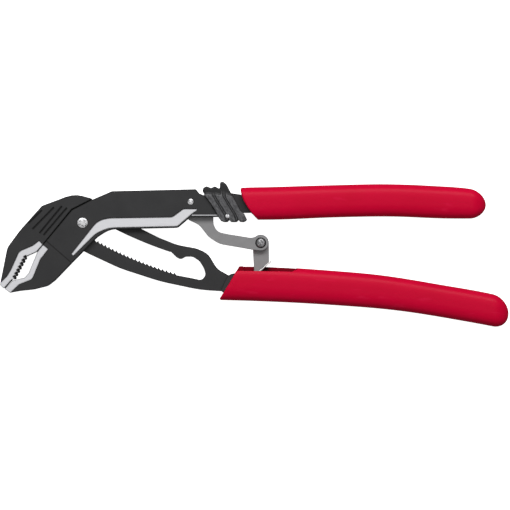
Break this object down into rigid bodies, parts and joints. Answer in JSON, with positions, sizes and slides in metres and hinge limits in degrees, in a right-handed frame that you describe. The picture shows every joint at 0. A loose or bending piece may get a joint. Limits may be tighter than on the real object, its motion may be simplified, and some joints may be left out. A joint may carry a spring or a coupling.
{
  "type": "self-adjusting tongue and groove pliers",
  "caption": "Self-adjusting tongue and groove pliers lying on a broad side, jaws closed: a toothed curved arm slides between two side plates and a link pair joins red dipped handles.",
  "frame": {"origin": "centre of the overall box, on the plane that the grips' flat lands lie on", "axes": "+X from the jaws to the handle ends, +Y towards the upper handle, +Z out of the front broad side"},
  "size_m": [0.2544, 0.0726, 0.013],
  "materials": {
    "black_steel": "blackened, fine satin finish, bright ground bands along the jaws and the plates' strips",
    "link_steel": "mid-grey blasted steel",
    "bright_steel": "bright rivet and spring steel",
    "red_grip": "soft glossy dipped plastic",
    "slider_black": "dark moulded slider with worn thumb ribs"
  },
  "bodies": {
    "upper_handle": {"front_side_plate": "black_steel", "rear_side_plate": "black_steel", "fixed_jaw": "black_steel", "handle_lever": "black_steel", "lever_rivets": "black_steel", "upper_grip": "red_grip", "pivot_rivet": "bright_steel", "link_rivet": "bright_steel"},
    "carriage": {"slide_block": "link_steel", "shoe_spring": "bright_steel"},
    "shoe": {"toothed_shoe": "link_steel"},
    "lower_handle": {"toothed_arm": "black_steel", "handle_channel": "black_steel", "channel_rivets": "black_steel", "lower_grip": "red_grip", "anchor_pin": "link_steel"},
    "upper_link": {"upper_link": "link_steel", "opening_spring": "bright_steel"},
    "lower_link": {"lower_link": "link_steel", "knuckle_rivet": "bright_steel", "link_spring": "bright_steel"},
    "lock_slider": {"lock_slider": "slider_black", "guide_pin": "bright_steel"}
  },
  "joints": [
    {"name": "opening", "type": "hinge", "parent": "upper_handle", "child": "carriage", "pos_m": [-0.08595, 0.01585, 0.0065], "axis": [0, 0, -1], "range_deg": [0, 14]},
    {"name": "arm_slide", "type": "hinge", "parent": "carriage", "child": "lower_handle", "pos_m": [0.02025, 0.1912, 0.0065], "axis": [0, 0, -1], "range_deg": [0, 7.95]},
    {"name": "upper_link_swing", "type": "hinge", "parent": "upper_handle", "child": "upper_link", "pos_m": [-0.03195, 0.02635, 0.0065], "axis": [0, 0, -1], "range_deg": [0, 38.6]},
    {"name": "knuckle_swing", "type": "hinge", "parent": "upper_link", "child": "lower_link", "pos_m": [0.00305, 0.00585, 0.0065], "axis": [0, 0, -1], "range_deg": [0, 15.2]},
    {"name": "shoe_engage", "type": "slide", "parent": "carriage", "child": "shoe", "axis": [-0.518, -0.8554, 0], "range_m": [0, 0.00115]},
    {"name": "lock_slide", "type": "slide", "parent": "upper_handle", "child": "lock_slider", "axis": [1, 0, 0], "range_m": [-0.002, 0.0042]}
  ],
  "couplings": [
    {"joint": "arm_slide", "follows": "opening", "ratio": 0.5676},
    {"joint": "upper_link_swing", "follows": "opening", "ratio": 2.7519},
    {"joint": "knuckle_swing", "follows": "opening", "ratio": 1.0789}
  ]
}
